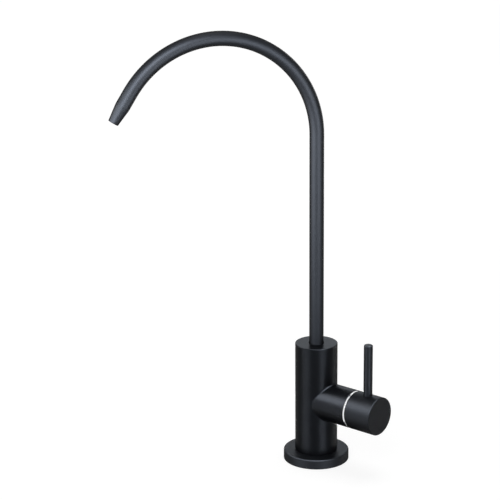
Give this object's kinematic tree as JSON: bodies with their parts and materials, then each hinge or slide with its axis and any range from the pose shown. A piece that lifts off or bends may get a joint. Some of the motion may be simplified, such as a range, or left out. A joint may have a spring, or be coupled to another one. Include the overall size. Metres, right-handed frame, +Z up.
{
  "type": "drinking water filter tap",
  "caption": "Black deck-mounted drinking water tap with a tall gooseneck swivel spout, a cylindrical body and a quarter-turn side knob with a lever pin.",
  "frame": {"origin": "on the body's upright axis, in the plane of the worktop's top face (the flange's underside)", "axes": "+Z up along the body, +X along the handle's axis towards the knob, -Y towards the user"},
  "size_m": [0.1581, 0.1748, 0.426],
  "materials": {
    "black_coat": "satin black coat over metal",
    "bright_ring": "polished",
    "brass": "machined",
    "steel": "machined",
    "seal_rubber": "matte",
    "slide_plastic": "matte",
    "white_ceramic": "lapped",
    "dark_ceramic": "lapped"
  },
  "bodies": {
    "tap": {"tap_body": "black_coat", "base_flange": "black_coat", "base_gasket": "seal_rubber", "spout_thrust_washer": "slide_plastic", "spout_set_screw": "steel", "cartridge_housing": "brass", "cartridge_seat_seal": "seal_rubber", "cartridge_o_ring": "seal_rubber", "fixed_disc": "white_ceramic", "trim_ring": "bright_ring", "mounting_shank": "steel", "shank_o_ring": "seal_rubber"},
    "spout": {"spout_tube": "black_coat", "spout_spigot": "brass", "spout_o_rings": "seal_rubber"},
    "handle": {"knob": "black_coat", "lever_pin": "black_coat", "knob_set_screw": "steel", "valve_spindle": "brass", "turning_disc": "dark_ceramic", "spindle_thrust_ring": "slide_plastic", "spindle_o_rings": "seal_rubber", "spindle_clip": "steel"},
    "clamp_set": {"rubber_washer": "seal_rubber", "steel_washer": "steel", "lock_nut": "brass"}
  },
  "joints": [
    {"name": "spout_swivel", "type": "hinge", "parent": "tap", "child": "spout", "pos_m": [0, 0, 0.1], "axis": [0, 0, 1], "continuous": true},
    {"name": "handle_turn", "type": "hinge", "parent": "tap", "child": "handle", "pos_m": [0.0541, 0, 0.0535], "axis": [1, 0, 0], "range_deg": [0, 90]},
    {"name": "lock_nut_slide", "type": "slide", "parent": "tap", "child": "clamp_set", "axis": [0, 0, -1], "range_m": [0, 0.06]}
  ]
}
